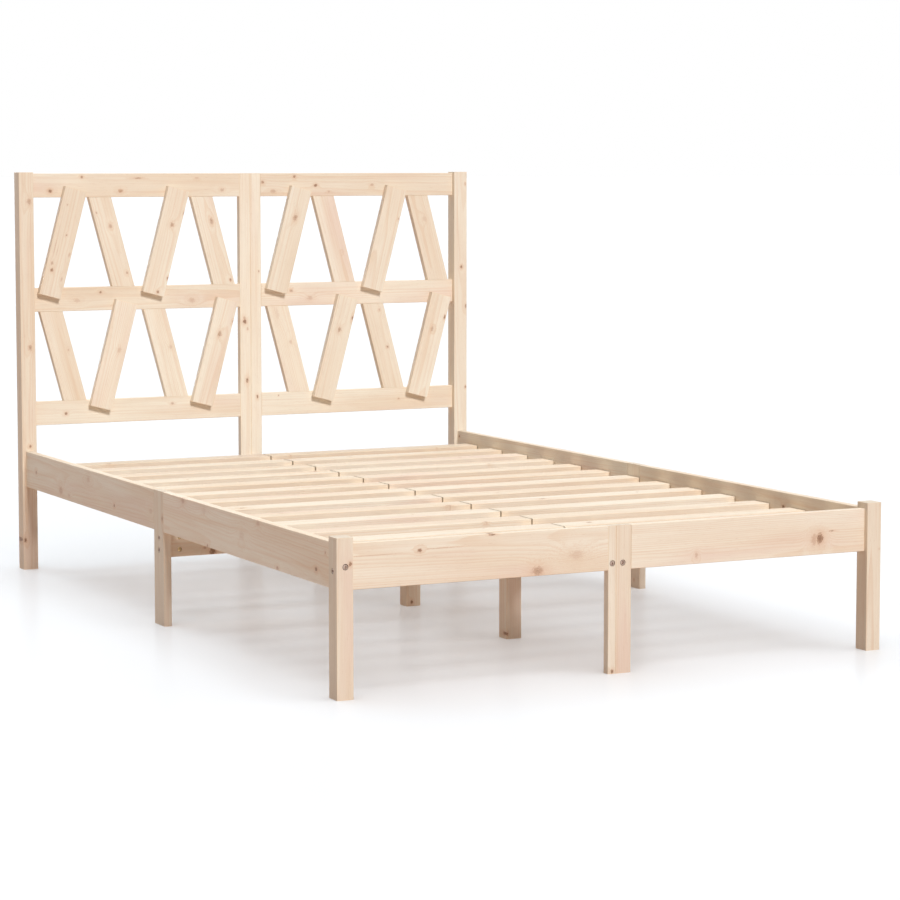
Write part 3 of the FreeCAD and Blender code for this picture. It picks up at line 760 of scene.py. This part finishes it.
def makeTapeCloth():
    material, tree, shader = startMaterial("tapeCloth")
    place = addNode(tree, "ShaderNodeTexCoord").outputs["Object"]
    x, y = splitXyz(tree, place)[:2]
    turns = 2 * math.pi / tapeLook["thread"]
    warp = calc(tree, "SINE", calc(tree, "MULTIPLY", x, turns))
    weft = calc(tree, "SINE", calc(tree, "MULTIPLY", y, turns * tapeLook["weftShare"]))
    weave = rise(tree, calc(tree, "MULTIPLY", warp, weft), -0.8, 0.8)
    fuzz = noise(tree, place, tapeLook["fuzz"], 3.0, 0.6)
    wear = noise(tree, place, tapeLook["wear"], 2.0)
    colour = mixColour(tree, weave, tapeLook["shade"], tapeLook["tone"])
    colour = mixColour(tree, rise(tree, fuzz, 0.4, 0.8, 0.0, 0.4), colour, tapeLook["fuzzTone"])
    colour = mixColour(tree, rise(tree, wear, 0.45, 0.75, 0.0, 0.3), colour, tapeLook["wornTone"])
    feed(tree, shader.inputs["Base Color"], colour)
    feed(tree, shader.inputs["Roughness"], rise(tree, fuzz, 0.3, 0.7, 0.78, 0.95))
    shader.inputs["Specular IOR Level"].default_value = tapeLook["gloss"]
    shader.inputs["Sheen Weight"].default_value = tapeLook["sheen"]
    shader.inputs["Sheen Roughness"].default_value = tapeLook["sheenRoughness"]
    height = calc(tree, "MULTIPLY_ADD", weave, 0.8, calc(tree, "MULTIPLY", fuzz, 0.3))
    addBump(tree, shader, height, tapeLook["bump"], tapeLook["bumpDepth"])
    return material


def pickNothing():
    bpy.ops.object.select_all(action="DESELECT")


def useOnly(piece):
    pickNothing()
    piece.select_set(True)
    bpy.context.view_layer.objects.active = piece


def pickPoints(piece, wanted):
    # in edit mode, picks the points that pass the test, with the edges between them
    mesh = bmesh.from_edit_mesh(piece.data)
    for point in mesh.verts:
        point.select = wanted(point.co)
    mesh.select_mode = {"VERT"}
    mesh.select_flush_mode()
    bmesh.update_edit_mesh(piece.data)


def pullOn(along, up):
    # draws the picked edge out into a new stretch of tape
    bpy.ops.mesh.extrude_region_move(TRANSFORM_OT_translate={"value": (0.0, along, up)})


def makeTape(material):
    # one length of tape, flat under the first slat and drawn out from slat to slat
    width = tapeLook["width"]
    slat = slatRow["width"]
    gap = slatRow["pitch"] - slat
    pickNothing()
    start = slatRow["first"] - slat / 2 + width / 2
    bpy.ops.mesh.primitive_plane_add(size=width, location=(tapeLook["first"], start, tapeLook["top"]))
    tape = bpy.context.object
    bpy.ops.object.mode_set(mode="EDIT")
    pickPoints(tape, lambda place: place.y > 0)
    pullOn(slat - width, 0.0)
    for number in range(slatRow["count"] - 1):
        for share, fall in tapeLook["sagShares"]:
            pullOn(gap * share, -tapeLook["sag"] * fall)
        pullOn(slat, 0.0)
    bpy.ops.object.mode_set(mode="OBJECT")
    useOnly(tape)
    bpy.ops.object.transform_apply(location=True, rotation=True, scale=True)
    body = tape.modifiers.new("body", "SOLIDIFY")
    body.thickness = tapeLook["thickness"]
    body.offset = -1
    bpy.ops.object.modifier_apply(modifier=body.name)
    bpy.ops.object.shade_smooth_by_angle(angle=tapeLook["smoothUpTo"])
    tape.data.materials.append(material)
    return tape


def copyTape(tape, shift):
    useOnly(tape)
    bpy.ops.object.duplicate(linked=False)
    copy = bpy.context.object
    bpy.ops.transform.translate(value=(shift, 0.0, 0.0))
    bpy.ops.object.transform_apply(location=True, rotation=True, scale=True)
    return copy


tapes = [makeTape(makeTapeCloth())]
while len(tapes) < tapeLook["count"]:
    tapes.append(copyTape(tapes[0], tapeLook["pitch"] * len(tapes)))
for number, tape in enumerate(tapes, 1):
    tape.name = "slatTape" + str(number)
    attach(tape, "root")
    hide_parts("slat_tapes")
print("scene: the tapes hang under the slats")


# Studio: a pale floor with a faint gloss, light from above, from the front and a little from behind.
# The front light is small enough to set off the lapped boards. The floor has lamps of its own, wide
# and slightly tinted, so that its shadows stay soft and close to grey beside the warm wood

studio = {
    "floor": tone(196, 178, 170),
    "floorSeen": tone(243, 249, 255),
    "floorSize": 400,
    "floorGloss": 0.15,
    "floorBlur": 0.22,
    "worldLight": 0.20,
    "worldTone": (1.0, 0.98, 0.965, 1.0),
    "lampDistance": 5,
    "lamps": {
        "topLamp": {"from": (-0.05, 0.45, 1.0), "light": 0.50, "spread": 60, "reaches": "bed",
                    "tone": (1.0, 1.0, 1.0)},
        "floorTopLamp": {"from": (-0.05, 0.45, 1.0), "light": 0.50, "spread": 60, "reaches": "floor",
                         "tone": (0.92, 0.975, 1.0)},
        "frontLamp": {"from": (0.02, -1.0, 0.72), "light": 0.68, "spread": 12, "reaches": "bed",
                      "tone": (1.0, 1.0, 1.0)},
        "floorLamp": {"from": (0.10, -1.0, 0.90), "light": 0.86, "spread": 110, "reaches": "floor",
                      "tone": (1.0, 0.92, 0.87)},
        "backLamp": {"from": (0.0, 1.0, 0.10), "light": 0.28, "spread": 10, "reaches": "bed",
                     "tone": (1.0, 1.0, 1.0)},
    },
}


def seenDirectly(tree):
    # 1 for what the camera sees, straight or in a reflection or through glass
    path = addNode(tree, "ShaderNodeLightPath")
    seen = calc(tree, "MAXIMUM", path.outputs["Is Camera Ray"], path.outputs["Is Glossy Ray"])
    return calc(tree, "MAXIMUM", seen, path.outputs["Is Transmission Ray"])


def makeFloor():
    pickNothing()
    bpy.ops.mesh.primitive_plane_add(size=studio["floorSize"])
    floor = bpy.context.object
    floor.name = "studioFloor"
    material, tree, shader = startMaterial("studioFloor")
    seen = seenDirectly(tree)
    feed(tree, shader.inputs["Base Color"], mixColour(tree, seen, studio["floor"], studio["floorSeen"]))
    shader.inputs["Roughness"].default_value = 1.0
    shader.inputs["Specular IOR Level"].default_value = 0.0
    gloss = addNode(tree, "ShaderNodeBsdfAnisotropic")
    gloss.inputs["Roughness"].default_value = studio["floorBlur"]
    polish = addNode(tree, "ShaderNodeMixShader")
    feed(tree, polish.inputs[0], calc(tree, "MULTIPLY", seen, studio["floorGloss"]))
    feed(tree, polish.inputs[1], shader.outputs[0])
    feed(tree, polish.inputs[2], gloss.outputs[0])
    feed(tree, tree.nodes["Material Output"].inputs["Surface"], polish.outputs[0])
    floor.data.materials.append(material)
    return floor


def makeWorld():
    # white where it is seen, and a weaker warm white where it lights
    world = bpy.data.worlds.new("studioWorld")
    bpy.context.scene.world = world
    world.use_nodes = True
    tree = world.node_tree
    back = tree.nodes["Background"]
    seen = seenDirectly(tree)
    feed(tree, back.inputs["Color"], mixColour(tree, seen, studio["worldTone"], (1, 1, 1, 1)))
    feed(tree, back.inputs["Strength"], rise(tree, seen, 0.0, 1.0, studio["worldLight"], 1.0))


def makeLamp(name, look, floor):
    # light is what a white face turned to the lamp gives back, spread is how soft it is in degrees
    lamp = bpy.data.lights.new(name, "SUN")
    lamp.energy = look["light"] * math.pi
    lamp.angle = math.radians(look["spread"])
    lamp.color = look["tone"]
    holder = bpy.data.objects.new(name, lamp)
    bpy.context.scene.collection.objects.link(holder)
    holder.location = Vector(look["from"]) * studio["lampDistance"]
    holder.rotation_euler = Vector(look["from"]).to_track_quat("Z", "Y").to_euler()
    # the floor is in the list of what the lamp reaches, or of what it leaves out
    lit = bpy.data.collections.new(name + "Reach")
    lit.objects.link(floor)
    onFloor = look["reaches"] == "floor"
    lit.collection_objects[0].light_linking.link_state = "INCLUDE" if onFloor else "EXCLUDE"
    holder.light_linking.receiver_collection = lit


cameraLook = {
    "place": (-2.76047, -5.70123, 1.01797),
    "dip": 0.0869,
    "turn": -0.4656643,
    "lens": 110.129,
    "sensor": 36.0,
    "shift": -0.05,
}


def makeCamera():
    data = bpy.data.cameras.new("photoCamera")
    data.sensor_width = cameraLook["sensor"]
    data.lens = cameraLook["lens"]
    data.shift_y = cameraLook["shift"]
    holder = bpy.data.objects.new("photoCamera", data)
    bpy.context.scene.collection.objects.link(holder)
    holder.location = cameraLook["place"]
    holder.rotation_euler = (math.pi / 2 - cameraLook["dip"], 0.0, cameraLook["turn"])
    bpy.context.scene.camera = holder


floor = makeFloor()
makeWorld()
for name, look in studio["lamps"].items():
    makeLamp(name, look, floor)
makeCamera()
bpy.context.scene.view_settings.view_transform = "Standard"
print("scene: floor, lamps and camera are set")
